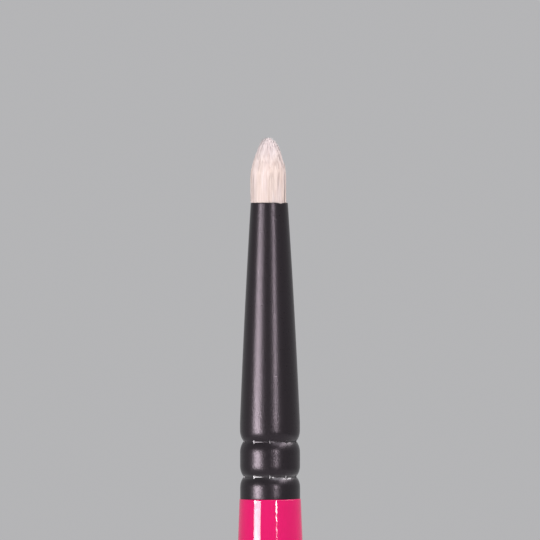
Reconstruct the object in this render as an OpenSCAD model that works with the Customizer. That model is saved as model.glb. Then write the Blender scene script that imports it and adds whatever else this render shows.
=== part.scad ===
// Eyeshadow brush: a domed hair tuft in a crimped metal ferrule on a turned, lacquered handle.
// Millimetres. The brush stands upright on its axis, hair up, with the tail's end at the origin.

/* [Handle] */
// Length of the handle from the end of its tail to the shoulder that the ferrule sits on
handle_len = 132.7; // [110:0.1:150]
// How far the shoulder stands proud of the ferrule
shoulder_step = 0.1; // [0.02:0.01:0.3]
// Radius of the round edge on the shoulder
shoulder_round = 0.12; // [0.05:0.01:0.3]
// Diameter of the handle at its belly
belly_d = 8.2; // [7.6:0.1:12]
// Distance from the shoulder down to the belly
belly_drop = 21; // [12:0.5:40]
// Diameter of the parallel tail
tail_d = 4.8; // [3.6:0.1:6]
// Length of the parallel stretch of the tail, above its round end
tail_len = 10; // [6:0.5:20]
// How far the tenon runs on past the upper crimp
tenon_past = 1.9; // [1:0.1:4]
// Bevel around the end of the tenon
tenon_bevel = 0.3; // [0.1:0.05:0.6]

/* [Ferrule] */
// Length of the ferrule
ferrule_len = 34.5; // [30:0.1:45]
// Outer diameter of the ferrule at its base
ferrule_d = 7; // [6.2:0.1:7.4]
// Outer diameter of the ferrule at its mouth
mouth_d = 4.34; // [4:0.02:5.6]
// Wall of the ferrule
ferrule_wall = 0.3; // [0.2:0.02:0.4]
// Wall of the ferrule at the very edge of its mouth
mouth_wall = 0.1; // [0.06:0.01:0.2]
// Length over which the wall thins towards the mouth
mouth_thinning = 1.2; // [0.6:0.1:3]
// How far the taper swells past a straight cone
taper_swell = 0.075; // [0:0.005:0.15]
// Height of the parallel band above the upper crimp
band_h = 1.16; // [0.6:0.02:2]

/* [Crimps] */
// Height of each crimp
crimp_h = 2.1; // [1.4:0.05:3]
// Depth of each crimp
crimp_depth = 0.37; // [0.2:0.01:0.45]
// Height of the bead between the two crimps
bead_h = 1.98; // [1:0.02:4]
// Height of the collar below the lower crimp
collar_h = 1.55; // [1:0.05:3]
// Number of crimping jaws, with a small ridge left between each two
jaws = 10; // [6:1:12]
// Width of the ridge that is left between two jaws
ridge_w = 0.18; // [0.1:0.01:0.24]

/* [Hair] */
// Length of the hair above the mouth
hair_out = 7.74; // [6:0.02:14]
// Diameter of the tuft where it is widest
tuft_d = 4.24; // [3.9:0.02:5.6]
// Height above the mouth where the tuft reaches its full width
swell_h = 0.6; // [0.3:0.05:1.5]
// Height above the mouth where the dome starts
dome_start = 2.8; // [1.6:0.1:4.5]
// How far the loose hair sits off the axis, towards -X
tuft_shift = 0.11; // [0:0.01:0.2]
// Rings of the grid that the hairs stand on: 10, 11 or 12 give 300, 363 or 432 hairs
hair_rings = 11; // [10:1:12]
// How unevenly the hairs end on the dome
tip_scatter = 0.1; // [0:0.01:0.2]

/* [Inside the ferrule] */
// Gap between the end of the tenon and the resin plug
air_gap = 4.5; // [2:0.1:6]
// Length of the resin plug
resin_len = 8.5; // [7:0.1:11]
// Depth of the resin below the roots of the hair
resin_below = 2.4; // [1:0.1:4]
// Diameter of the hair bundle where it is tied, and down to its roots
tied_d = 3.4; // [2.8:0.05:3.8]
// Distance from the roots up to the middle of the binding
tie_h = 2.6; // [1.5:0.1:4]
// Thickness of the binding thread
thread_d = 0.25; // [0.15:0.01:0.4]
// Turns of the binding thread
thread_turns = 5; // [3:1:8]
// Thickness of the adhesive around the end of the tenon
adhesive_t = 0.25; // [0.1:0.01:0.5]
// Gap left at each face that is bonded or cast against another piece
bond_gap = 0.02; // [0.01:0.005:0.05]

/* [Hidden] */

$fn = 96;

// Steps along the curved outlines
taper_steps = 16;
crimp_steps = 6;
handle_steps = 24;
rise_steps = 10;
arc_steps = 8;

// Shape of the crimp's flanks: 1 is a plain vee, more bows them outward
flank_power = 1.4;
// Shape of the dome: how its outline leaves the straight side, and how round its crown is
dome_power = 1.8;
crown_power = 0.65;
// Share of the dome's narrowing that each hair follows before it ends on the outline
gather_share = 0.4;
// Places of the rings along a hair's free length, and its width there, as shares
ring_shares = [0, 0.45, 0.8];
width_shares = [0.94, 0.84, 0.56];
tip_seed = 7;
// The hairs spring from just below the edge of the mouth
root_drop = bond_gap;

// Diameters and heights worked out from the sizes above
ferrule_r = ferrule_d / 2;
mouth_r = mouth_d / 2;
tuft_r = tuft_d / 2;
tied_r = tied_d / 2;
shoulder_r = ferrule_r + shoulder_step;
belly_r = belly_d / 2;
tail_r = tail_d / 2;
mouth_z = handle_len + ferrule_len;
lower_crimp_z = handle_len + collar_h + crimp_h / 2;
upper_crimp_z = lower_crimp_z + crimp_h + bead_h;
band_z = upper_crimp_z + crimp_h / 2;
taper_z = band_z + band_h;
taper_len = mouth_z - taper_z;
tenon_z = band_z + tenon_past;
resin_z = tenon_z + air_gap;
root_z = resin_z + resin_below;
tie_z = root_z + tie_h;
tie_len = thread_turns * thread_d;
bundle_r = mouth_r - mouth_wall - bond_gap;
dome_h = hair_out - dome_start;

// Outer radius of the ferrule at a height
function crimp_dip(z, mid_z) =
    crimp_depth * pow(max(0, 1 - abs(z - mid_z) / (crimp_h / 2)), flank_power);
function ferrule_out_r(z) =
    let (up = max(0, z - taper_z) / taper_len)
    ferrule_r - (ferrule_r - mouth_r) * up + 4 * taper_swell * up * (1 - up)
    - crimp_dip(z, lower_crimp_z) - crimp_dip(z, upper_crimp_z);
function wall_at(z) =
    mouth_wall + (ferrule_wall - mouth_wall) * min(1, (mouth_z - z) / mouth_thinning);
function ferrule_in_r(z) = ferrule_out_r(z) - wall_at(z);

// Heights at which the ferrule's outline has a point, from its base up
function crimp_heights(mid_z) =
    [for (i = [-crimp_steps:crimp_steps]) mid_z + crimp_h / 2 * i / crimp_steps];
crimp_zs = concat(crimp_heights(lower_crimp_z), crimp_heights(upper_crimp_z));
taper_zs = [for (i = [0:taper_steps]) taper_z + taper_len * i / taper_steps];
outer_zs = concat([handle_len], crimp_zs, taper_zs);
inner_zs = concat(
    [handle_len], crimp_zs, [for (z = taper_zs) if (z < mouth_z - mouth_thinning) z],
    [mouth_z - mouth_thinning, mouth_z]);

// The points of a list, from its last to its first
function backwards(list) = [for (i = [len(list) - 1:-1:0]) list[i]];

// Ferrule: a tapered sleeve, crimped twice on the tenon
module ferrule() {
    color([0.05, 0.045, 0.05]) {
        rotate_extrude()
            polygon(concat(
                [for (z = outer_zs) [ferrule_out_r(z), z]],
                backwards([for (z = inner_zs) [ferrule_in_r(z), z]])));
        for (mid_z = [lower_crimp_z, upper_crimp_z])
            for (i = [0:jaws - 1])
                rotate(360 * (i + 1 / 2) / jaws)
                    jaw_ridge(mid_z);
    }
}

// The small ridge that two neighbouring jaws leave across the floor of a crimp
module jaw_ridge(mid_z) {
    ridge_r = ferrule_r - crimp_depth;
    ridge_h = crimp_h * ridge_w / crimp_depth / 2;
    translate([ridge_r, 0, mid_z - ridge_h / 2])
        cylinder(d = ridge_w, h = ridge_h, $fn = 24);
}

// Handle: turned in one piece, with a round tail, a belly, a shoulder and the crimped tenon
module handle() {
    dome = [for (i = [0:arc_steps])
        let (a = 90 * i / arc_steps)
        [tail_r * sin(a), tail_r * (1 - cos(a))]];
    long_taper = [for (i = [0:handle_steps])
        let (low_z = tail_r + tail_len, high_z = handle_len - belly_drop, up = i / handle_steps)
        [tail_r + (belly_r - tail_r) * (1 - cos(180 * up)) / 2, low_z + (high_z - low_z) * up]];
    rise = [for (i = [1:rise_steps])
        let (up = i / rise_steps)
        [belly_r - (belly_r - shoulder_r) * (1 - cos(90 * up)),
         handle_len - belly_drop + (belly_drop - shoulder_round) * up]];
    edge = [for (i = [1:arc_steps])
        let (a = 90 * i / arc_steps)
        [shoulder_r - shoulder_round * (1 - cos(a)),
         handle_len - shoulder_round * (1 - sin(a))]];
    tenon = [for (z = concat([handle_len], crimp_zs)) [ferrule_in_r(z) - bond_gap, z]];
    stub_r = ferrule_in_r(band_z) - bond_gap - adhesive_t;
    stub = [
        [stub_r, band_z], [stub_r, tenon_z - tenon_bevel],
        [stub_r - tenon_bevel, tenon_z], [0, tenon_z]];
    color([0.91, 0, 0.42])
        rotate_extrude()
            polygon(concat(dome, long_taper, rise, edge, tenon, stub));
}

// Adhesive: a sleeve around the stepped end of the tenon
module tenon_adhesive() {
    low_z = band_z + bond_gap;
    in_r = ferrule_in_r(band_z) - adhesive_t;
    outer_side = [for (z = concat([low_z], taper_z < tenon_z ? [taper_z] : [], [tenon_z]))
        [ferrule_in_r(z) - bond_gap, z]];
    color([0.86, 0.8, 0.62])
        rotate_extrude()
            polygon(concat([[in_r, low_z]], outer_side, [[in_r, tenon_z]]));
}

// Resin: the plug cast around the tied roots, wider below than above, so it can't pull out
module root_resin() {
    top_z = resin_z + resin_len;
    nest_r = tied_r + bond_gap;
    nest_z = root_z - bond_gap;
    band_r = tied_r + bond_gap + thread_d + bond_gap;
    band_half = tie_len / 2 + bond_gap;
    color([0.74, 0.6, 0.36])
        rotate_extrude()
            polygon([
                [0, resin_z], [ferrule_in_r(resin_z) - bond_gap, resin_z],
                [ferrule_in_r(top_z) - bond_gap, top_z], [bundle_at(top_z) + bond_gap, top_z],
                [bundle_at(tie_z + band_half) + bond_gap, tie_z + band_half],
                [band_r, tie_z + band_half], [band_r, tie_z - band_half],
                [nest_r, tie_z - band_half], [nest_r, nest_z], [0, nest_z]]);
}

// Binding: the turns of thread around the roots, side by side
module binding_thread() {
    low_z = tie_z - tie_len / 2;
    color([0.9, 0.88, 0.82])
        rotate_extrude() {
            translate([tied_r + bond_gap, low_z + thread_d / 2])
                square([thread_d / 2, tie_len - thread_d]);
            for (i = [0:thread_turns - 1])
                translate([tied_r + bond_gap + thread_d / 2, low_z + thread_d * (i + 1 / 2)])
                    circle(d = thread_d, $fn = 32);
        }
}

// Radius of the bundle inside the ferrule: full at the mouth, drawn in to the binding
function bundle_at(z) =
    let (top_z = mouth_z - root_drop, waist_z = tie_z + tie_len / 2)
    tied_r + (bundle_r - tied_r) * max(0, z - waist_z) / (top_z - waist_z);

// Outline of the loose tuft above the mouth
function tuft_out_r(h) =
    let (up = min(1, max(0, h - dome_start) / dome_h))
    tuft_r * pow(1 - pow(up, dome_power), crown_power);
// Height at which the outline has come in to a share of its full width
function outline_height(share) =
    dome_start + dome_h * pow(1 - pow(share, 1 / crown_power), 1 / dome_power);

// The grid: ring k has 6 k points, evenly around the axis, and number 0 is the axis
point_count = 3 * hair_rings * (hair_rings + 1) + 1;
function grid_index(k, m) = k == 0 ? 0 : 3 * k * (k - 1) + 1 + m % (6 * k);
grid = concat([[0, 0]], [for (k = [1:hair_rings], m = [0:6 * k - 1])
    let (a = 60 * m / k)
    [cos(a), sin(a)] * k / hair_rings]);

// Cells between rings k - 1 and k in one of six sectors. Every other cell carries a hair,
// so no two hairs share a side, and the cells between them are the slice's bare top.
function outward_cells(k, sector) = [for (t = [0:1:k - 1]) [
    grid_index(k, sector * k + t), grid_index(k, sector * k + t + 1),
    grid_index(k - 1, sector * (k - 1) + t)]];
function inward_cells(k, sector) = [for (t = [0:1:k - 2]) [
    grid_index(k - 1, sector * (k - 1) + t + 1), grid_index(k - 1, sector * (k - 1) + t),
    grid_index(k, sector * k + t + 1)]];
function cells(k, sector, hairs) =
    (sector % 2 == 0) == hairs ? outward_cells(k, sector) : inward_cells(k, sector);
hair_cells = [for (k = [1:hair_rings], s = [0:5], cell = cells(k, s, true)) cell];
bare_cells = [for (k = [1:hair_rings], s = [0:5], cell = cells(k, s, false)) cell];
hair_count = len(hair_cells);

// A hair ends where its own line meets the outline, a little above or below it
scatter = rands(-1, 0, hair_count, tip_seed);
function cell_mid(cell) = (grid[cell[0]] + grid[cell[1]] + grid[cell[2]]) / 3;
function hair_height(i) =
    let (share = pow(norm(cell_mid(hair_cells[i])), 1 / (1 - gather_share)))
    outline_height(share) + tip_scatter * scatter[i];

// Where a point of the grid lies at a height above the mouth
function flow(point, h) =
    let (gather = pow(tuft_out_r(h) / tuft_r, gather_share))
    concat(point * tuft_r * gather - [tuft_shift, 0], [mouth_z + h]);
function hair_ring(cell, h, width) =
    [for (corner = cell) flow(cell_mid(cell) + (grid[corner] - cell_mid(cell)) * width, h)];
function hair_points(i) =
    let (cell = hair_cells[i], top = hair_height(i))
    concat(
        [for (j = [0:2], p = hair_ring(
            cell, swell_h + (top - swell_h) * ring_shares[j], width_shares[j])) p],
        [flow(cell_mid(cell), top)]);

// Two triangles for one side of a wall between a lower edge and an upper one
function wall_faces(low, low_next, high, high_next) =
    [[low, high_next, low_next], [low, high, high_next]];
function hair_faces(i) =
    let (cell = hair_cells[i], first = point_count + 10 * i, tip = first + 9)
    [for (level = [0:3], side = [0:2])
        let (
            next = (side + 1) % 3,
            low = level == 0 ? cell[side] : first + 3 * (level - 1) + side,
            low_next = level == 0 ? cell[next] : first + 3 * (level - 1) + next)
        each level == 3
            ? [[low, tip, low_next]]
            : wall_faces(low, low_next, first + 3 * level + side, first + 3 * level + next)];

// The slice: the rest of the bundle, from the bare cells down past the binding to the roots
rim = 6 * hair_rings;
waist_first = point_count + 10 * hair_count;
root_first = waist_first + rim;
root_mid = root_first + rim;
function rim_ring(r, z) = [for (m = [0:rim - 1]) [r * cos(360 * m / rim), r * sin(360 * m / rim), z]];
slice_points = concat(
    rim_ring(tied_r, tie_z + tie_len / 2), rim_ring(tied_r, root_z), [[0, 0, root_z]]);
slice_faces = [for (m = [0:rim - 1])
    let (
        next = (m + 1) % rim, top = grid_index(hair_rings, m), top_next = grid_index(hair_rings, m + 1),
        waist = waist_first + m, waist_next = waist_first + next,
        root = root_first + m, root_next = root_first + next)
    each concat(
        wall_faces(waist, waist_next, top, top_next), wall_faces(root, root_next, waist, waist_next),
        [[root_mid, root, root_next]])];

// Hair: all the hairs rise from one slice, which runs down inside the ferrule to the roots
module hair_tuft() {
    top_z = mouth_z - root_drop;
    color([0.96, 0.88, 0.85])
        polyhedron(
            points = concat(
                [for (p = grid) concat(p * bundle_r, [top_z])],
                [for (i = [0:hair_count - 1], p = hair_points(i)) p],
                slice_points),
            faces = concat(
                [for (cell = bare_cells) [cell[2], cell[1], cell[0]]],
                [for (i = [0:hair_count - 1], face = hair_faces(i)) face],
                slice_faces));
}

hair_tuft();
binding_thread();
root_resin();
ferrule();
tenon_adhesive();
handle();
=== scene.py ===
# Looks of the eyeshadow brush: a cream hair tuft, a satin black crimped ferrule, a pink handle.
# The brush stands upright on its axis, hair up, and the photograph's camera looks along +Y.
import math
import random

import bpy
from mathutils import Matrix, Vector


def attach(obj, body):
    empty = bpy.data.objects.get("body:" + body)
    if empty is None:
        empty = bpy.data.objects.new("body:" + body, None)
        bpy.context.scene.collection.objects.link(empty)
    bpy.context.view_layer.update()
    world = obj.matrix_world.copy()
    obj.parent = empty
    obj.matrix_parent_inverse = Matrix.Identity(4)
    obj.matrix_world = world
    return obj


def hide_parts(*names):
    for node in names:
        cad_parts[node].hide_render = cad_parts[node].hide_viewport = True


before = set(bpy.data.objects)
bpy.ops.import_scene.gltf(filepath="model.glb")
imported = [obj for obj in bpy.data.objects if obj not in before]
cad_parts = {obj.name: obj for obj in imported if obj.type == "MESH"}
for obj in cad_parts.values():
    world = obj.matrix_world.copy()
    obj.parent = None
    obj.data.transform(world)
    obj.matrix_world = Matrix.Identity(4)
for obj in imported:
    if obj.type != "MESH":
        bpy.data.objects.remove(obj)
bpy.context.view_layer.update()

# Sizes of the brush, in millimetres, as the solids have them
MM = 0.001
HANDLE_LEN = 132.7
SHOULDER_STEP = 0.1
SHOULDER_ROUND = 0.12
BELLY_R = 4.1
BELLY_DROP = 21
TAIL_R = 2.4
TAIL_LEN = 10
TENON_PAST = 1.9
TENON_BEVEL = 0.3
ADHESIVE_T = 0.25
BOND_GAP = 0.02

FERRULE_LEN = 34.5
FERRULE_R = 3.5
MOUTH_R = 2.17
FERRULE_WALL = 0.3
MOUTH_WALL = 0.1
MOUTH_THINNING = 1.2
TAPER_SWELL = 0.075
BAND_H = 1.16
COLLAR_H = 1.55
BEAD_H = 1.98
CRIMP_H = 2.1
CRIMP_DEPTH = 0.37
FLANK_POWER = 1.4
CRIMP_REACH = 1.35
CRIMP_POWER = 2.3
JAWS = 10
RIDGE_W = 0.18

HAIR_OUT = 7.74
TUFT_R = 2.09
TUFT_SHIFT = 0.11
SWELL_H = 0.14
DOME_START = 3.45
DOME_POWER = 1.3
CROWN_POWER = 0.61
GATHER_SHARE = 0.82
AIR_GAP = 4.5
RESIN_BELOW = 2.4
TIED_R = 1.7
TIE_H = 2.6
THREAD_D = 0.25
THREAD_TURNS = 5

# Heights worked out from the sizes above
MOUTH_Z = HANDLE_LEN + FERRULE_LEN
LOWER_CRIMP_Z = HANDLE_LEN + COLLAR_H + CRIMP_H / 2
UPPER_CRIMP_Z = LOWER_CRIMP_Z + CRIMP_H + BEAD_H
BAND_Z = UPPER_CRIMP_Z + CRIMP_H / 2
TAPER_Z = BAND_Z + BAND_H
TENON_Z = BAND_Z + TENON_PAST
ROOT_Z = TENON_Z + AIR_GAP + RESIN_BELOW
TIE_Z = ROOT_Z + TIE_H
WAIST_Z = TIE_Z + THREAD_TURNS * THREAD_D / 2
BUNDLE_R = MOUTH_R - MOUTH_WALL - BOND_GAP

# The tuft's hairs: how many and how thick, where their tips end, and how the locks draw together
HAIR_COUNT = 3300
HAIR_R = 0.05
LOCK_COUNT = 120
TIP_LEN = 0.5
TIP_SCATTER = 0.11
BLUNT_TOP = 7.5
LOCK_PULL = 0.08
LOCK_SCATTER = 0.035
STRAY_SHARE = 0.02
HAIR_SEED = 11
HAIR_TONE = 0.6

# How light takes the tuft: each hair's own roundness, and how far up the dome's hairs face
OWN_SHARE = 0.08
UPWARD_SHARE = 0.5
STEEPEST = 3.0

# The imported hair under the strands: how deep it lies, its foot below the mouth, and its dome
PACKED_UNDER = 0.07
PACKED_BELOW = 0.05
PACKED_FOOT = -0.6
PACKED_TOP = 7.3
PACKED_CROWN = 0.08
PACKED_RIDGE = 0.02
PACKED_TONE_SPREAD = 0.14

# The camera, in metres, and the turn that leans the brush as the photograph has it, in degrees
CAMERA_DISTANCE = 0.665
CAMERA_HEIGHT = 0.15937
CAMERA_ASIDE = 0.00006
CAMERA_TURN = 0.17
LENS = 380

# The world's colour where it is seen or mirrored, and where it only lights the brush
BACKDROP = (0.46, 0.46, 0.47, 1)
AMBIENT = (0.16, 0.16, 0.162, 1)

# How far the lamps stand from the brush, in metres
LAMP_DISTANCE = 0.7
FILL_DISTANCE = 0.75


def smooth_step(low, high, value):
    """0 below low, 1 above high, and a soft rise between them."""
    t = min(1.0, max(0.0, (value - low) / (high - low)))
    return t * t * (3 - 2 * t)


# Finishes


class Wire:
    """A value in a finish's node tree. Arithmetic on it adds the Math nodes that work it out."""

    def __init__(self, finish, socket):
        self.finish = finish
        self.socket = socket

    def math(self, operation, *values):
        return self.finish.add("ShaderNodeMath", {"operation": operation}, dict(enumerate(values)))

    def __add__(self, other):
        return self.math("ADD", self, other)

    __radd__ = __add__

    def __sub__(self, other):
        return self.math("SUBTRACT", self, other)

    def __rsub__(self, other):
        return self.math("SUBTRACT", other, self)

    def __mul__(self, other):
        return self.math("MULTIPLY", self, other)

    __rmul__ = __mul__

    def at_most(self, limit):
        return self.math("MINIMUM", self, limit)

    def between(self, low, high):
        """0 where the value is below low, 1 above high, and a soft rise between them."""
        return self.finish.add(
            "ShaderNodeMapRange", {"interpolation_type": "SMOOTHSTEP"},
            {"Value": self, "From Min": low, "From Max": high})


class Finish:
    """A material, or the world, made of nodes."""

    def __init__(self, name, owner=None):
        self.owner = owner or bpy.data.materials.new(name)
        self.owner.use_nodes = True
        self.tree = self.owner.node_tree
        self.tree.nodes.clear()

    def add(self, kind, settings=None, values=None, output=0):
        """Adds a node of a type with its settings, then its sockets' values or links."""
        node = self.tree.nodes.new(kind)
        for name, setting in (settings or {}).items():
            setattr(node, name, setting)
        for name, value in (values or {}).items():
            if isinstance(value, Wire):
                self.tree.links.new(value.socket, node.inputs[name])
            else:
                node.inputs[name].default_value = value
        return Wire(self, node.outputs[output]) if node.outputs else None

    def points(self, stretch=(1, 1, 1)):
        """The surface's own coordinates in millimetres, each times its stretch."""
        coordinates = self.add("ShaderNodeTexCoord", output="Object")
        return self.add(
            "ShaderNodeMapping", None,
            {"Vector": coordinates, "Scale": [s / MM for s in stretch]})

    def noise(self, scale, detail=2.0, stretch=(1, 1, 1)):
        """Noise from 0 to 1 with that many features to the millimetre."""
        return self.add(
            "ShaderNodeTexNoise", None,
            {"Vector": self.points(stretch), "Scale": scale, "Detail": detail})

    def attribute(self, name):
        return self.add("ShaderNodeAttribute", {"attribute_name": name}, output="Fac")

    def mix(self, factor, a, b):
        """Colour a where the factor is 0, and b where it is 1."""
        return self.add(
            "ShaderNodeMix", {"data_type": "RGBA"},
            {"Factor": factor, 6: a, 7: b}, output=2)

    def bump(self, height, distance):
        """A bump whose height of 1 stands that far out of the surface, in millimetres."""
        return self.add(
            "ShaderNodeBump", None, {"Height": height, "Distance": distance * MM})

    def surface(self, **sockets):
        """Ends the tree in a Principled shader. Names are its sockets', with _ for a space."""
        shader = self.add(
            "ShaderNodeBsdfPrincipled", None,
            {name.replace("_", " "): value for name, value in sockets.items()})
        self.end(shader)
        return self.owner

    def end(self, shader):
        """Ends the tree in a shader."""
        kind = "ShaderNodeOutputMaterial"
        if isinstance(self.owner, bpy.types.World):
            kind = "ShaderNodeOutputWorld"
        self.add(kind, None, {"Surface": shader})


def hair_finish():
    """Undyed hair: cream, each lock and each hair a little lighter or darker. Towards the tips its
    colour is painted paler: painted light that brightens the dome and the shade between the tips.
    """
    finish = Finish("cream_hair")
    tone = finish.attribute("tone")
    streaks = finish.noise(1.0, 4.0, stretch=(5.5, 5.5, 0.35))
    warmth = finish.noise(1.0, 1.0, stretch=(1.6, 1.6, 0.25))
    shade = tone + streaks * 1.4 - 0.68
    height = finish.add("ShaderNodeSeparateXYZ", None, {"Vector": finish.points()}, output="Z")
    # Painted light: both the pale and the dark cream grow paler towards the tips, lightening the
    # dome and the shade between the tips.
    tip = height.between(MOUTH_Z + 0.45 * HAIR_OUT, MOUTH_Z + HAIR_OUT)
    pale = finish.mix(warmth.between(0.4, 0.6), (0.75, 0.62, 0.575, 1), (0.75, 0.635, 0.62, 1))
    pale = finish.mix(tip, pale, (0.785, 0.685, 0.705, 1))
    dark = finish.mix(tip, (0.54, 0.4, 0.355, 1), (0.65, 0.52, 0.5, 1))
    cream = finish.mix(shade, dark, pale)
    scales = finish.noise(1.0, 2.0, stretch=(20, 20, 6))
    return finish.surface(
        Base_Color=cream, Roughness=0.46 + 0.16 * streaks, IOR=1.45,
        Normal=finish.bump(scales, 0.006))


def thread_finish():
    """Waxed two-ply thread."""
    finish = Finish("waxed_thread")
    fibres = finish.noise(1.0, 3.0, stretch=(14, 14, 30))
    colour = finish.mix(fibres, (0.62, 0.57, 0.46, 1), (0.80, 0.77, 0.68, 1))
    return finish.surface(
        Base_Color=colour, Roughness=0.5 + 0.25 * fibres, Normal=finish.bump(fibres, 0.012))


def ferrule_finish():
    """Aluminium, blasted and anodised satin black.

    The jaws pressed the grooves smooth, and rubbed the ridges between them down to bare metal.
    """
    finish = Finish("satin_black_metal")
    grain = finish.noise(6.5, 1.0)
    patches = finish.noise(0.5, 2.0)
    colour = finish.mix(grain, (0.0015, 0.0013, 0.0017, 1), (0.004, 0.0033, 0.004, 1))
    worn = finish.attribute("worn")
    pressed = worn.between(0.0, 0.5)
    bare = worn.between(0.5, 1.0)
    blasted = grain * (1 - 0.75 * finish.attribute("crimped").between(0.0, 0.4))
    colour = finish.mix(bare, colour, (0.26, 0.24, 0.255, 1))
    roughness = 0.225 + 0.14 * grain + 0.02 * patches
    return finish.surface(
        Base_Color=colour, Roughness=roughness, Metallic=bare, IOR=1.5,
        Coat_Weight=pressed, Coat_Roughness=0.07, Coat_IOR=1.65,
        Specular_Tint=(1, 0.83, 0.95, 1), Normal=finish.bump(blasted, 0.0125))


def handle_finish():
    """Pink lacquer over turned wood: deep, glossy, with a faint orange peel."""
    finish = Finish("pink_lacquer")
    depth = finish.noise(0.35, 2.0)
    flow = finish.noise(0.5, 1.0)
    peel = finish.noise(1.6, 0.0)
    dust = finish.noise(11.0, 1.0)
    colour = finish.mix(depth, (0.555, 0.0, 0.094, 1), (0.61, 0.0, 0.109, 1))
    roughness = 0.055 + 0.05 * dust.between(0.6, 0.8)
    return finish.surface(
        Base_Color=colour, Roughness=roughness, IOR=1.5,
        Normal=finish.bump(flow + 0.45 * peel, 0.01))


def resin_finish():
    """Amber resin, cast around the roots, with small bubbles in it."""
    finish = Finish("amber_resin")
    clouds = finish.noise(0.6, 3.0)
    bubbles = finish.noise(5.0, 0.0).between(0.66, 0.74)
    colour = finish.mix(clouds, (0.42, 0.25, 0.07, 1), (0.58, 0.38, 0.13, 1))
    colour = finish.mix(bubbles * 0.6, colour, (0.75, 0.6, 0.34, 1))
    return finish.surface(
        Base_Color=colour, Roughness=0.16 + 0.12 * clouds,
        Normal=finish.bump(bubbles, 0.03))


def adhesive_finish():
    """Wood glue: cream, uneven, with a skin that shrank as it dried."""
    finish = Finish("wood_glue")
    clouds = finish.noise(1.1, 3.0)
    wrinkles = finish.noise(3.0, 3.0, stretch=(1, 1, 0.4))
    colour = finish.mix(clouds, (0.62, 0.5, 0.27, 1), (0.78, 0.69, 0.45, 1))
    return finish.surface(
        Base_Color=colour, Roughness=0.35 + 0.2 * clouds, Normal=finish.bump(wrinkles, 0.03))


# Meshes


def make_piece(name, points, faces, corners, finish, slot, replaced, **attributes):
    """Makes a piece from points in millimetres and faces, with its chart and its points' values."""
    mesh = bpy.data.meshes.new(name)
    mesh.from_pydata([[c * MM for c in p] for p in points], [], faces)
    chart = mesh.uv_layers.new(name="OFBake")
    chart.data.foreach_set("uv", [c for corner in corners for c in corner])
    for attribute, values in attributes.items():
        mesh.attributes.new(attribute, "FLOAT", "POINT").data.foreach_set("value", values)
    mesh.polygons.foreach_set("use_smooth", [True] * len(faces))
    mesh.materials.append(finish)
    piece = bpy.data.objects.new(name, mesh)
    bpy.context.collection.objects.link(piece)
    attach(piece, "root")
    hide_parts(replaced)
    return piece


def ring_faces(ring_count, side_count, chart, closed=False):
    """Faces and chart corners between rings of points, each one joined to the next."""
    faces, corners = [], []
    for ring in range(ring_count if closed else ring_count - 1):
        above = (ring + 1) % ring_count
        for side in range(side_count):
            turn = (side + 1) % side_count
            faces.append((
                ring * side_count + side, ring * side_count + turn,
                above * side_count + turn, above * side_count + side))
            corners += [
                chart(ring, side), chart(ring, side + 1),
                chart(ring + 1, side + 1), chart(ring + 1, side)]
    return faces, corners


# Ferrule


def crimp_dip(z, crimp_z, reach=CRIMP_H / 2, power=FLANK_POWER, floor=0.0):
    """How deep a crimp is at a height. reach is half its height, and floor half the flat in it."""
    away = max(0.0, abs(z - crimp_z) - floor) / (reach - floor)
    return CRIMP_DEPTH * max(0.0, 1 - away) ** power


def sleeve_radius(z):
    """Outer radius of the ferrule before it is crimped."""
    up = max(0.0, z - TAPER_Z) / (MOUTH_Z - TAPER_Z)
    return FERRULE_R - (FERRULE_R - MOUTH_R) * up + 4 * TAPER_SWELL * up * (1 - up)


def wall_at(z):
    return MOUTH_WALL + (FERRULE_WALL - MOUTH_WALL) * min(1.0, (MOUTH_Z - z) / MOUTH_THINNING)


def bore_radius(z):
    """Inner radius of the crimped ferrule."""
    return (sleeve_radius(z) - wall_at(z)
            - crimp_dip(z, LOWER_CRIMP_Z) - crimp_dip(z, UPPER_CRIMP_Z))


class CrimpJaws:
    """The marks that a ring of jaws leaves: its presses, and a ridge between each two."""

    PRESS_UNEVEN = 0.035
    DEPTH_UNEVEN = 0.012
    FLATTENING = 0.07
    FLOOR = 0.055
    FLOOR_FROM = 0.88
    FLAT_MIDDLE = 0.6
    BLEND_ANGLE = 3
    RIDGE_H = 0.10

    def __init__(self, crimp_z, seed, pressed_share, rub, ridge_wears):
        rng = random.Random(seed)
        self.crimp_z = crimp_z
        self.pressed_share = pressed_share
        self.rub = rub
        self.ridge_wears = ridge_wears
        self.lifts = [rng.uniform(-1, 1) * self.PRESS_UNEVEN for _ in range(JAWS)]
        self.depths = [rng.uniform(-1, 1) * self.DEPTH_UNEVEN for _ in range(JAWS)]

    def dip(self, z, angle):
        """(depth, how far the jaws rubbed the metal) at a height and an angle in degrees."""
        pitch = 360 / JAWS
        jaw = int((angle + pitch / 2) // pitch) % JAWS
        off_centre = (angle + pitch / 2) % pitch - pitch / 2
        to_edge = pitch / 2 - abs(off_centre)
        beside = (jaw + (1 if off_centre > 0 else -1)) % JAWS
        own = 0.5 + 0.5 * smooth_step(0, self.BLEND_ANGLE, to_edge)
        lift = self.lifts[jaw] * own + self.lifts[beside] * (1 - own)
        extra = self.depths[jaw] * own + self.depths[beside] * (1 - own)
        depth = crimp_dip(z, self.crimp_z + lift, CRIMP_REACH, CRIMP_POWER, self.FLOOR)
        flat = smooth_step(self.FLOOR_FROM, 1.0, depth / CRIMP_DEPTH)
        bow = math.cos(math.pi * off_centre / pitch) - self.FLAT_MIDDLE
        extra += self.FLATTENING * bow * flat
        depth *= 1 + extra / CRIMP_DEPTH
        rubbed = self.rub * smooth_step(1 - self.pressed_share, 1.0, depth / CRIMP_DEPTH)
        across = to_edge * math.pi / 180 * (FERRULE_R - CRIMP_DEPTH) / (RIDGE_W / 2)
        if across >= 1:
            return depth, rubbed
        crest = CRIMP_DEPTH - self.RIDGE_H * math.sqrt(1 - across * across)
        ridge_wear = self.ridge_wears[jaw if off_centre > 0 else jaw - 1]
        return (crest, ridge_wear) if crest < depth else (depth, rubbed)


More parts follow.
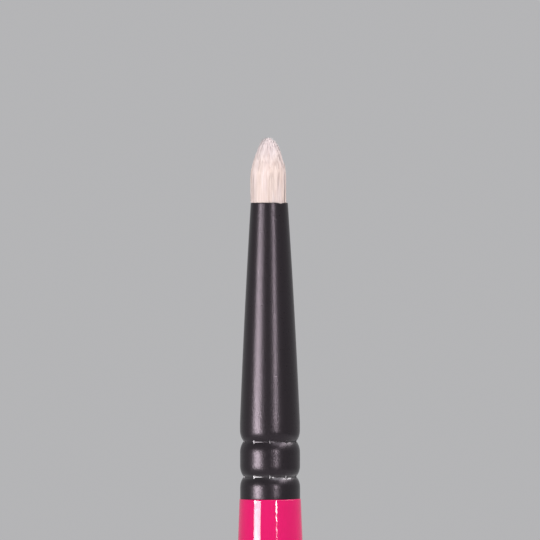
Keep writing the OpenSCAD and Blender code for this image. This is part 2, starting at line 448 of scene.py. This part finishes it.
def ferrule_angles():
    """Angles of the ferrule's columns, closer together on the ridges."""
    pitch = 360 / JAWS
    half_ridge = math.degrees(RIDGE_W / 2 / (FERRULE_R - CRIMP_DEPTH))
    offsets = [half_ridge * s for s in (-1.15, -0.98, -0.8, -0.45, 0, 0.45, 0.8, 0.98, 1.15)]
    plain_steps = 11
    low, high = offsets[-1], pitch + offsets[0]
    offsets += [low + (high - low) * i / plain_steps for i in range(1, plain_steps)]
    return [pitch * (jaw + 0.5) + offset for jaw in range(JAWS) for offset in offsets]


def spread(low, high, steps):
    """Even steps from low up to high, both included."""
    return [low + (high - low) * i / steps for i in range(steps + 1)]


def crimp_heights(crimp_z):
    """Heights across a crimp, closer together at its floor."""
    steps, crowding = 20, 1.35
    return [
        crimp_z + math.copysign(abs(s) ** crowding, s) * CRIMP_REACH
        for s in (i / steps for i in range(-steps, steps + 1))]


def make_ferrule():
    """The black sleeve: tapered, crimped twice by ten jaws, rounded over at both its edges."""
    edge, lip = 0.05, 0.6
    bead_rows, band_rows, taper_rows, lip_rows = 6, 4, 44, 6
    jaws = [
        CrimpJaws(
            LOWER_CRIMP_Z, seed=3, pressed_share=0.65, rub=0.33,
            ridge_wears=(0.7, 0.9, 0.6, 0.95, 0.8, 0.3, 0.95, 0.65, 0.85, 0.7)),
        CrimpJaws(
            UPPER_CRIMP_Z, seed=5, pressed_share=0.2, rub=0.16,
            ridge_wears=(0.3, 0.8, 0.2, 0.5, 0.9, 0.3, 0.95, 0.2, 0.2, 0.5))]
    outer = sorted(set(
        [HANDLE_LEN + edge, HANDLE_LEN + 0.5, HANDLE_LEN + 0.95]
        + crimp_heights(LOWER_CRIMP_Z) + crimp_heights(UPPER_CRIMP_Z)
        + spread(LOWER_CRIMP_Z + CRIMP_REACH, UPPER_CRIMP_Z - CRIMP_REACH, bead_rows)[1:-1]
        + spread(UPPER_CRIMP_Z + CRIMP_REACH, TAPER_Z, band_rows)[1:]
        + spread(TAPER_Z, MOUTH_Z - lip, taper_rows)
        + spread(MOUTH_Z - lip, MOUTH_Z - edge, lip_rows)))
    inner = (
        [MOUTH_Z - edge, MOUTH_Z - 0.5, MOUTH_Z - MOUTH_THINNING]
        + list(reversed(spread(TAPER_Z, MOUTH_Z - MOUTH_THINNING - 1, 10)))
        + [BAND_Z + 0.01]
        + list(reversed(crimp_heights(UPPER_CRIMP_Z)[::3]))
        + list(reversed(crimp_heights(LOWER_CRIMP_Z)[::3]))
        + [HANDLE_LEN + edge])
    arc = [math.radians(a) for a in (22.5, 45, 67.5)]
    # Each row: height, how far in from the outer side, and whether it is on that side
    rows = [(z, 0.0, True) for z in outer]
    rows += [(MOUTH_Z - edge + edge * math.sin(a), edge - edge * math.cos(a), True) for a in arc]
    rows += [(MOUTH_Z, MOUTH_WALL / 2, True)]
    rows += [(MOUTH_Z - edge + edge * math.cos(a), MOUTH_WALL - edge + edge * math.sin(a), True)
             for a in arc]
    rows += [(z, wall_at(z), False) for z in inner]
    rows += [(HANDLE_LEN, FERRULE_WALL - edge, True), (HANDLE_LEN, edge, True)]
    rows += [(HANDLE_LEN + edge - edge * math.cos(a), edge - edge * math.sin(a), True)
             for a in arc]
    angles = ferrule_angles()
    points, worn, crimped = [], [], []
    for z, inset, outside in rows:
        for angle in angles:
            r, depth, rubbed = bore_radius(z), 0.0, 0.0
            if outside:
                marks = [jaw_ring.dip(z, angle) for jaw_ring in jaws]
                depth = sum(dip for dip, _ in marks)
                r = sleeve_radius(z) - inset - depth
                rubbed = max(rub for _, rub in marks)
            a = math.radians(angle)
            points.append((r * math.cos(a), r * math.sin(a), z - mouth_sag(z, angle)))
            worn.append(rubbed)
            crimped.append(min(1.0, depth / CRIMP_DEPTH))
    lip_arc_rows = 2 * len(arc) + 1
    chart = ferrule_chart(rows, len(outer) + lip_arc_rows, len(angles))
    faces, corners = ring_faces(len(rows), len(angles), chart, closed=True)
    return make_piece(
        "ferrule_sleeve", points, faces, corners, ferrule_finish(), "ferrule_metal", "ferrule",
        worn=worn, crimped=crimped)


def mouth_sag(z, angle):
    """How far the mouth's edge is pressed down: a little, at one place on the front."""
    depth, at, half = 0.09, 309.0, 9.0
    away = abs((angle - at + 180) % 360 - 180) / half
    return depth * math.exp(-away * away) * smooth_step(MOUTH_Z - 0.5, MOUTH_Z, z)


def ferrule_chart(rows, outer_rows, side_count):
    """The outer side takes four fifths of the texture's width, and the bore the rest."""
    outer_wide, bore_left, bore_wide, margin = 0.79, 0.81, 0.18, 0.2

    def chart(ring, side):
        share = side / side_count
        z = rows[min(ring, len(rows) - 1)][0]
        v = (z - HANDLE_LEN + margin) / (FERRULE_LEN + 2 * margin)
        return (outer_wide * share, v) if ring < outer_rows else (bore_left + bore_wide * share, v)

    return chart


# Handle


def handle_profile():
    """(radius, height) from the end of the tail up to the end of the tenon."""
    shoulder_r = FERRULE_R + SHOULDER_STEP
    low_z, high_z = TAIL_R + TAIL_LEN, HANDLE_LEN - BELLY_DROP
    tail_steps, parallel_steps, taper_steps, rise_steps, edge_steps = 14, 4, 60, 24, 8
    tail = [(TAIL_R * math.sin(a), TAIL_R * (1 - math.cos(a)))
            for a in (math.radians(90 * i / tail_steps) for i in range(1, tail_steps + 1))]
    parallel = [(TAIL_R, z) for z in spread(TAIL_R, low_z, parallel_steps)[1:]]
    taper = [
        (TAIL_R + (BELLY_R - TAIL_R) * (1 - math.cos(math.pi * s)) / 2,
         low_z + (high_z - low_z) * s)
        for s in (i / taper_steps for i in range(1, taper_steps + 1))]
    rise = [
        (BELLY_R - (BELLY_R - shoulder_r) * (1 - math.cos(math.pi / 2 * s)),
         high_z + (BELLY_DROP - SHOULDER_ROUND) * s)
        for s in (i / rise_steps for i in range(1, rise_steps + 1))]
    edge = [
        (shoulder_r - SHOULDER_ROUND * (1 - math.cos(a)),
         HANDLE_LEN - SHOULDER_ROUND * (1 - math.sin(a)))
        for a in (math.radians(90 * i / edge_steps) for i in range(1, edge_steps + 1))]
    tenon_zs = [HANDLE_LEN] + crimp_heights(LOWER_CRIMP_Z)[::3] + crimp_heights(UPPER_CRIMP_Z)[::3]
    tenon = [(bore_radius(z) - BOND_GAP, z) for z in tenon_zs]
    stub_r = bore_radius(BAND_Z) - BOND_GAP - ADHESIVE_T
    stub = [(stub_r, BAND_Z), (stub_r, TENON_Z - TENON_BEVEL), (stub_r - TENON_BEVEL, TENON_Z)]
    return tail + parallel + taper + rise + edge + tenon + stub


def make_handle():
    """The turned handle: round tail, belly, shoulder and the tenon inside the ferrule."""
    side_count = 144
    profile = handle_profile()
    lengths = [0.0]
    for (r0, z0), (r1, z1) in zip(profile, profile[1:]):
        lengths.append(lengths[-1] + math.hypot(r1 - r0, z1 - z0))
    half = lengths[-1] / 2
    split = next(i for i, length in enumerate(lengths) if length > half)
    left, low, wide, tall, aside = 0.01, 0.02, 0.48, 0.96, 0.5

    def chart(ring, side):
        """Two columns side by side: the lower half of the handle, and the upper."""
        share = side / side_count
        if ring <= split:
            return left + wide * share, low + tall * lengths[ring] / lengths[split]
        rest = lengths[-1] - lengths[split]
        return left + aside + wide * share, low + tall * (lengths[ring] - lengths[split]) / rest

    def upper_chart(ring, side):
        """The same, with the ring where the halves meet at the foot of the upper column."""
        u, v = chart(ring, side)
        return (u + aside, low) if ring == split else (u, v)

    points = []
    for r, z in profile:
        for side in range(side_count):
            a = 2 * math.pi * side / side_count
            points.append((r * math.cos(a), r * math.sin(a), z))
    low_faces, low_corners = ring_faces(split + 1, side_count, chart)
    all_faces, all_corners = ring_faces(len(profile), side_count, upper_chart)
    kept = split * side_count
    faces = low_faces + all_faces[kept:]
    corners = low_corners + all_corners[4 * kept:]
    for ring, z, v in ((0, 0.0, low / 4), (len(profile) - 1, TENON_Z, 1 - low / 4)):
        centre = len(points)
        points.append((0.0, 0.0, z))
        for side in range(side_count):
            first, second = ring * side_count + side, ring * side_count + (side + 1) % side_count
            u = (left if ring == 0 else left + aside) + wide * side / side_count
            step = wide / side_count
            edge_v = low if ring == 0 else low + tall
            if ring == 0:
                faces.append((centre, second, first))
                corners += [(u + step / 2, v), (u + step, edge_v), (u, edge_v)]
            else:
                faces.append((centre, first, second))
                corners += [(u + step / 2, v), (u, edge_v), (u + step, edge_v)]
    return make_piece(
        "turned_handle", points, faces, corners, handle_finish(), "handle_lacquer", "handle")


# Hair


def sunflower(count):
    """Points spread evenly over a disc of radius 1."""
    golden = math.pi * (3 - math.sqrt(5))
    return [
        (math.sqrt((i + 0.5) / count) * math.cos(i * golden),
         math.sqrt((i + 0.5) / count) * math.sin(i * golden))
        for i in range(count)]


def tuft_outline(h):
    """Radius of the loose tuft at a height above the mouth."""
    up = min(1.0, max(0.0, (h - DOME_START) / (HAIR_OUT - DOME_START)))
    return TUFT_R * (1 - up ** DOME_POWER) ** CROWN_POWER


def tuft_facing(x, y, z):
    """The way that hairs face on the tuft: out of it, and on the dome upward as well."""
    h = z - MOUTH_Z
    step, least_rise = 0.05, 0.0001
    rise = 0.0
    if h > 0:
        slope = (tuft_outline(h - step) - tuft_outline(h + step)) / (2 * step)
        rise = UPWARD_SHARE * min(STEEPEST, slope)
    outward = Vector((x + TUFT_SHIFT * smooth_step(0, SWELL_H, h), y, 0.0))
    share = min(1.0, outward.length / tuft_outline(min(h, HAIR_OUT - step)))
    return (outward.normalized() * share + Vector((0, 0, rise + least_rise))).normalized()


def soft_outline(h):
    """The tuft's radius, with its bend into the dome eased for the hairs that follow it."""
    reach = 0.7
    heights = [min(HAIR_OUT - 0.1, h + reach * s) for s in (-1, 0, 1)]
    return sum(tuft_outline(height) for height in heights) / 3


class Lock:
    """Some thirty hairs that stand together, much alike in colour and length."""

    SPOT_SPREAD = 0.03
    TONE_SPREAD = 0.1

    def __init__(self, spot, rng):
        self.spot = (
            spot[0] + rng.gauss(0, self.SPOT_SPREAD), spot[1] + rng.gauss(0, self.SPOT_SPREAD))
        self.tone = rng.gauss(HAIR_TONE, self.TONE_SPREAD)
        self.shortness = LOCK_SCATTER * rng.random()


class Hair:
    """One hair, from its root in the resin to its tip on the dome."""

    TONE_SPREAD = 0.12
    LEAN_SPREAD = 0.007
    THICKNESSES = (0.85, 1.15)
    TIP_SPREAD = 0.05
    SCATTER_POWER = 1.5
    WAVE = 0.014
    WAVE_TURN = 1.1
    PULL_POWER = 1.3
    TIP_THICKNESS = 0.5
    THINNING_POWER = 0.7
    STRAY_LENGTHS = (0.1, 0.3)
    STRAY_THINNING = 0.6
    STRAY_LEAN = 0.03
    STRAY_FROM = 0.3

    def __init__(self, spot, lock, rng):
        self.spot = spot
        self.lock = lock
        self.tone = min(1.0, max(0.0, lock.tone + rng.gauss(0, self.TONE_SPREAD)))
        self.sway = rng.uniform(0, 2 * math.pi)
        self.lean = (rng.gauss(0, self.LEAN_SPREAD), rng.gauss(0, self.LEAN_SPREAD))
        self.turn = rng.uniform(0, 2 * math.pi)
        self.thickness = HAIR_R * rng.uniform(*self.THICKNESSES)
        scatter = TIP_SCATTER * rng.random() ** self.SCATTER_POWER
        self.top = self.outline_meeting() - scatter - lock.shortness
        self.top = min(self.top, BLUNT_TOP + rng.gauss(0, self.TIP_SPREAD))
        if rng.random() < STRAY_SHARE and math.hypot(*spot) > self.STRAY_FROM:
            self.top += rng.uniform(*self.STRAY_LENGTHS)
            self.thickness *= self.STRAY_THINNING
            self.lean = (self.lean[0] + self.STRAY_LEAN * spot[0],
                         self.lean[1] + self.STRAY_LEAN * spot[1])

    def outline_meeting(self):
        """Height above the mouth at which the hair's own line comes out of the tuft's outline."""
        low, high, halvings = DOME_START, HAIR_OUT, 16
        for _ in range(halvings):
            h = (low + high) / 2
            x, y = self.middle(MOUTH_Z + h)
            if math.hypot(x + TUFT_SHIFT, y) < tuft_outline(h) - HAIR_R:
                low = h
            else:
                high = h
        return low

    def middle(self, z):
        """Where the hair's own line is at a height."""
        x, y = self.spot
        if z <= MOUTH_Z:
            share = max(0.0, z - WAIST_Z) / (MOUTH_Z - WAIST_Z)
            r = TIED_R + (BUNDLE_R - TIED_R) * share - HAIR_R
            return x * r, y * r
        h = z - MOUTH_Z
        drawn = LOCK_PULL * (h / HAIR_OUT) ** self.PULL_POWER
        x += (self.lock.spot[0] - x) * drawn
        y += (self.lock.spot[1] - y) * drawn
        swell = smooth_step(0, SWELL_H, h)
        r = BUNDLE_R - HAIR_R + (TUFT_R - BUNDLE_R) * swell
        r *= (soft_outline(h) / TUFT_R) ** GATHER_SHARE
        wave = self.WAVE * math.sin(self.WAVE_TURN * h + self.sway) * swell
        return (x * r + self.lean[0] * h + wave * math.cos(self.turn) - TUFT_SHIFT * swell,
                y * r + self.lean[1] * h + wave * math.sin(self.turn))

    def width(self, z):
        """Half the hair's thickness at a height: it thins towards its tip."""
        left = min(1.0, max(0.0, (MOUTH_Z + self.top - z) / TIP_LEN))
        thinning = (1 - self.TIP_THICKNESS) * left ** self.THINNING_POWER
        return self.thickness * (self.TIP_THICKNESS + thinning)


def make_hair(finish):
    """The hair tuft: every hair is a closed three-sided strand that thins to a point."""
    spot_spread = 0.008
    ring_shares = (0.3, 0.55, 0.75, 0.88, 0.96)
    chart_rows, foot, root_tall = 4, 0.03, 0.02
    rng = random.Random(HAIR_SEED)
    locks = [Lock(spot, rng) for spot in sunflower(LOCK_COUNT)]
    hairs = []
    for x, y in sunflower(HAIR_COUNT):
        spot = (x + rng.gauss(0, spot_spread), y + rng.gauss(0, spot_spread))
        reach = math.hypot(*spot)
        if reach > 1:
            spot = (spot[0] / reach, spot[1] / reach)
        near = min(range(LOCK_COUNT), key=lambda i: math.dist(spot, locks[i].spot))
        hairs.append((near, Hair(spot, locks[near], rng)))
    hairs = [hair for _, hair in sorted(hairs, key=lambda pair: pair[0])]
    points, faces, corners, tone, facing = [], [], [], [], []
    columns = math.ceil(len(hairs) / chart_rows)
    for number, hair in enumerate(hairs):
        tip_z = MOUTH_Z + hair.top
        free = hair.top - SWELL_H
        heights = [ROOT_Z, WAIST_Z, MOUTH_Z, MOUTH_Z + SWELL_H]
        heights += [MOUTH_Z + SWELL_H + free * share for share in ring_shares]
        left, low = (number % columns) / columns, (number // columns) / chart_rows
        wide, tall = 0.9 / columns, 0.98 / chart_rows

        def chart(ring, side):
            """Each hair has a thin upright strip of the texture, in one of its rows."""
            v = foot + (1 - foot) * (heights[ring] - ROOT_Z) / (tip_z - ROOT_Z)
            return left + wide * side / 3, low + tall * v

        first = len(points)
        for z in heights:
            x, y = hair.middle(z)
            r = hair.width(z)
            for side in range(3):
                a = hair.turn + 2 * math.pi * side / 3
                points.append((x + r * math.cos(a), y + r * math.sin(a), z))
                own = Vector((math.cos(a), math.sin(a), 0)) * OWN_SHARE
                facing.append((tuft_facing(x, y, z) + own).normalized())
        points.append((*hair.middle(tip_z), tip_z))
        facing.append(tuft_facing(*points[-1]))
        tip = len(points) - 1
        sides, chart_corners = ring_faces(len(heights), 3, chart)
        faces += [tuple(first + i for i in face) for face in sides]
        corners += chart_corners
        last = first + 3 * (len(heights) - 1)
        for side in range(3):
            faces.append((last + side, last + (side + 1) % 3, tip))
            corners += [
                chart(-1, side), chart(-1, side + 1), (left + wide * (side + 0.5) / 3, low + tall)]
        faces.append((first + 2, first + 1, first))
        corners += [(left, low), (left + wide, low), (left + wide / 2, low + root_tall * tall)]
        tone += [hair.tone] * (3 * len(heights) + 1)
    bundle = make_piece(
        "hair_bundle", points, faces, corners, finish, "hair", "hair_tuft", tone=tone)
    bundle.data.normals_split_custom_set_from_vertices(facing)
    return bundle


def make_packed_hair(finish):
    """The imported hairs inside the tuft: one finely ridged body just under the strands' surface."""
    columns, rings = 180, 70
    foot, cap_r = 0.05, 0.02
    rng = random.Random(HAIR_SEED + 1)
    tones = [rng.gauss(HAIR_TONE, PACKED_TONE_SPREAD) for _ in range(columns)]
    ridges = [rng.uniform(-PACKED_RIDGE, PACKED_RIDGE) for _ in range(columns)]
    heights = [PACKED_FOOT, 0.0, SWELL_H / 2] + [
        SWELL_H + (PACKED_TOP - SWELL_H) * math.sin(math.pi / 2 * i / rings)
        for i in range(rings)]
    points, facing = [], []
    for h in heights:
        swell = smooth_step(0, SWELL_H, h)
        r = BUNDLE_R + (TUFT_R - BUNDLE_R) * swell
        r *= tuft_outline(h + PACKED_BELOW) / TUFT_R
        for column, ridge in enumerate(ridges):
            a = 2 * math.pi * column / columns
            own = r - PACKED_UNDER + ridge * r / TUFT_R
            point = (own * math.cos(a) - TUFT_SHIFT * swell, own * math.sin(a), MOUTH_Z + h)
            points.append(point)
            facing.append(tuft_facing(*point))

    def chart(ring, side):
        """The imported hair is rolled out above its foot's disc."""
        return side / columns, foot + 0.9 * ring / len(heights)

    faces, corners = ring_faces(len(heights), columns, chart)
    last = columns * (len(heights) - 1)
    points.append((-TUFT_SHIFT, 0.0, MOUTH_Z + PACKED_TOP + PACKED_CROWN))
    facing.append(Vector((0, 0, 1)))
    for side in range(columns):
        faces.append((last + side, last + (side + 1) % columns, len(points) - 1))
        corners += [chart(len(heights) - 1, side), chart(len(heights) - 1, side + 1),
                    ((side + 0.5) / columns, 1.0)]
    faces.append(tuple(reversed(range(columns))))
    corners += [
        (0.5 + cap_r * math.cos(2 * math.pi * side / columns),
         foot / 2 + cap_r * math.sin(2 * math.pi * side / columns))
        for side in reversed(range(columns))]
    packed = make_piece(
        "packed_hair", points, faces, corners, finish, "hair", "hair_tuft",
        tone=tones * len(heights) + [HAIR_TONE])
    packed.data.normals_split_custom_set_from_vertices(facing)
    return packed


# Binding


def make_thread():
    """The binding: one thread wound five times round the hair, each turn beside the last."""
    sides, steps, step_over, ply_dent, ply_twist = 10, 60, 0.86, 0.09, 60
    shortfall, margin, end_r = 0.004, 0.05, 0.003
    coil_r = TIED_R + BOND_GAP + THREAD_D / 2
    low_z = TIE_Z - THREAD_TURNS * THREAD_D / 2 + THREAD_D / 2
    count = THREAD_TURNS * steps
    points = []
    for step in range(count + 1):
        turns = step / steps
        whole = min(math.floor(turns), THREAD_TURNS - 1)
        climb = smooth_step(step_over, 1.0, turns - whole) if whole < THREAD_TURNS - 1 else 0.0
        z = low_z + THREAD_D * (whole + climb)
        a = 2 * math.pi * (turns * (1 - shortfall))
        for side in range(sides):
            around = 2 * math.pi * side / sides
            ply = 1 - ply_dent * (0.5 + 0.5 * math.cos(2 * around + ply_twist * turns))
            r = THREAD_D / 2 * ply
            points.append((
                (coil_r + r * math.cos(around)) * math.cos(a),
                (coil_r + r * math.cos(around)) * math.sin(a),
                z + r * math.sin(around)))

    def chart(ring, side, past=0):
        """Each turn has a strip of its own. past is 1 at the far end of the ring's faces."""
        turn, along = divmod(ring, steps)
        return (0.01 + 0.98 * (along + past) / steps,
                (turn + margin + 0.9 * side / sides) / THREAD_TURNS)

    faces, corners = [], []
    for ring in range(count):
        for side in range(sides):
            turn = (side + 1) % sides
            faces.append((
                ring * sides + side, (ring + 1) * sides + side,
                (ring + 1) * sides + turn, ring * sides + turn))
            corners += [
                chart(ring, side), chart(ring, side, 1),
                chart(ring, side + 1, 1), chart(ring, side + 1)]
    for ring in (0, count):
        order = range(sides) if ring == 0 else range(sides - 1, -1, -1)
        faces.append(tuple(ring * sides + side for side in order))
        corners += [
            (0.004 + end_r * math.cos(2 * math.pi * s / sides),
             (0.2 if ring else 0.8) + end_r * math.sin(2 * math.pi * s / sides))
            for s in order]
    return make_piece(
        "wound_thread", points, faces, corners, thread_finish(), "thread", "binding_thread")


# Stage, light and camera


def make_floor():
    """A pale round floor that fades into the backdrop at its rim, and isn't seen from below."""
    radius, sides, rings = 0.5, 96, 6
    fade_from, fade_to = 0.45 * radius, 0.98 * radius
    points = [(0.0, 0.0, 0.0)]
    for ring in range(1, rings + 1):
        r = radius * ring / rings
        points += [
            (r * math.cos(2 * math.pi * s / sides), r * math.sin(2 * math.pi * s / sides), 0.0)
            for s in range(sides)]
    faces = [(0, 1 + s, 1 + (s + 1) % sides) for s in range(sides)]
    for ring in range(rings - 1):
        for s in range(sides):
            low, turn = 1 + ring * sides, (s + 1) % sides
            faces.append((low + s, low + sides + s, low + sides + turn, low + turn))
    mesh = bpy.data.meshes.new("floor")
    mesh.from_pydata(points, [], faces)
    finish = Finish("pale_floor")
    place = finish.add("ShaderNodeTexCoord", output="Object")
    away = finish.add("ShaderNodeVectorMath", {"operation": "LENGTH"}, {0: place}, output="Value")
    mottle = finish.noise(0.02, 3.0)
    colour = finish.mix(mottle, (0.60, 0.60, 0.61, 1), (0.63, 0.63, 0.64, 1))
    paint = finish.add("ShaderNodeBsdfDiffuse", None, {"Color": colour})
    clear = finish.add("ShaderNodeBsdfTransparent")
    under = finish.add("ShaderNodeNewGeometry", output="Backfacing")
    gone = (away.between(fade_from, fade_to) + under).at_most(1.0)
    finish.end(finish.add("ShaderNodeMixShader", None, {0: gone, 1: paint, 2: clear}))
    mesh.materials.append(finish.owner)
    floor = bpy.data.objects.new("floor", mesh)
    bpy.context.collection.objects.link(floor)


def make_backdrop():
    """The world: pale where the camera, gloss and glass look, and a soft fill for the rest."""
    world = bpy.data.worlds.new("studio")
    bpy.context.scene.world = world
    finish = Finish("studio", world)
    ray = {
        name: finish.add("ShaderNodeLightPath", output=name)
        for name in ("Is Camera Ray", "Is Glossy Ray", "Is Transmission Ray")}
    seen = ray["Is Camera Ray"] + ray["Is Glossy Ray"] + ray["Is Transmission Ray"]
    colour = finish.mix(seen, AMBIENT, BACKDROP)
    finish.end(finish.add("ShaderNodeBackground", None, {"Color": colour}))


def make_lamp(name, azimuth, elevation, size, radiance, tint=(1, 1, 1), distance=LAMP_DISTANCE):
    """A soft panel that faces the brush. Azimuth 0 is the camera's side, and 90 its right."""
    target = Vector((0, 0, CAMERA_HEIGHT))
    a, e = math.radians(azimuth), math.radians(elevation)
    back = Vector((math.sin(a) * math.cos(e), -math.cos(a) * math.cos(e), math.sin(e)))
    light = bpy.data.lights.new(name, "AREA")
    light.shape = "RECTANGLE"
    light.size, light.size_y = size
    light.energy = radiance * math.pi * size[0] * size[1]
    light.color = tint
    lamp = bpy.data.objects.new(name, light)
    lamp.location = target + back * distance
    lamp.rotation_mode = "QUATERNION"
    lamp.rotation_quaternion = (-back).to_track_quat("-Z", "Y")
    lamp.visible_camera = False
    bpy.context.collection.objects.link(lamp)
    return lamp


def make_fill(name, azimuth, elevation, size, radiance, tint=(1, 1, 1)):
    """A soft panel that lights the brush's colours and doesn't show in its gloss."""
    lamp = make_lamp(name, azimuth, elevation, size, radiance, tint, FILL_DISTANCE)
    lamp.visible_glossy = False


def make_camera():
    """The photograph's camera: level with the ferrule, from the front."""
    camera = bpy.data.cameras.new("camera")
    camera.lens = LENS
    camera.sensor_width = 36
    holder = bpy.data.objects.new("camera", camera)
    holder.location = (CAMERA_ASIDE, -CAMERA_DISTANCE, CAMERA_HEIGHT)
    holder.rotation_euler = (math.radians(90), math.radians(CAMERA_TURN), 0)
    bpy.context.collection.objects.link(holder)
    bpy.context.scene.camera = holder


make_camera()
make_backdrop()
make_floor()
make_lamp("left_key", -48.8, -5, (0.325, 0.235), 16.3)
make_lamp("left_edge", -58, 3.6, (0.09, 0.05), 38)
make_lamp("left_low", -48.8, -4.9, (0.2, 0.09), 9)
make_lamp("right_key", 23, 5.6, (0.05, 0.154), 47)
make_lamp("right_low", 23, -4.95, (0.05, 0.078), 20)
make_lamp("high_lamp", 84, 41, (0.8, 0.16), 8)
make_lamp("overhead", 50, 65, (0.5, 0.5), 2.6, (0.95, 0.97, 1))
make_fill("high_fill", 70, 42, (0.3, 0.3), 6.6, (1, 0.97, 0.96))
make_fill("back_fill", 180, 10, (0.4, 0.4), 5.5)
bpy.context.scene.view_settings.view_transform = "Standard"

cream_hair = hair_finish()
make_hair(cream_hair)
make_packed_hair(cream_hair)
make_thread()
make_ferrule()
make_handle()
for node, finish in (("root_resin", resin_finish()), ("tenon_adhesive", adhesive_finish())):
    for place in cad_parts[node].material_slots:
        place.material = finish
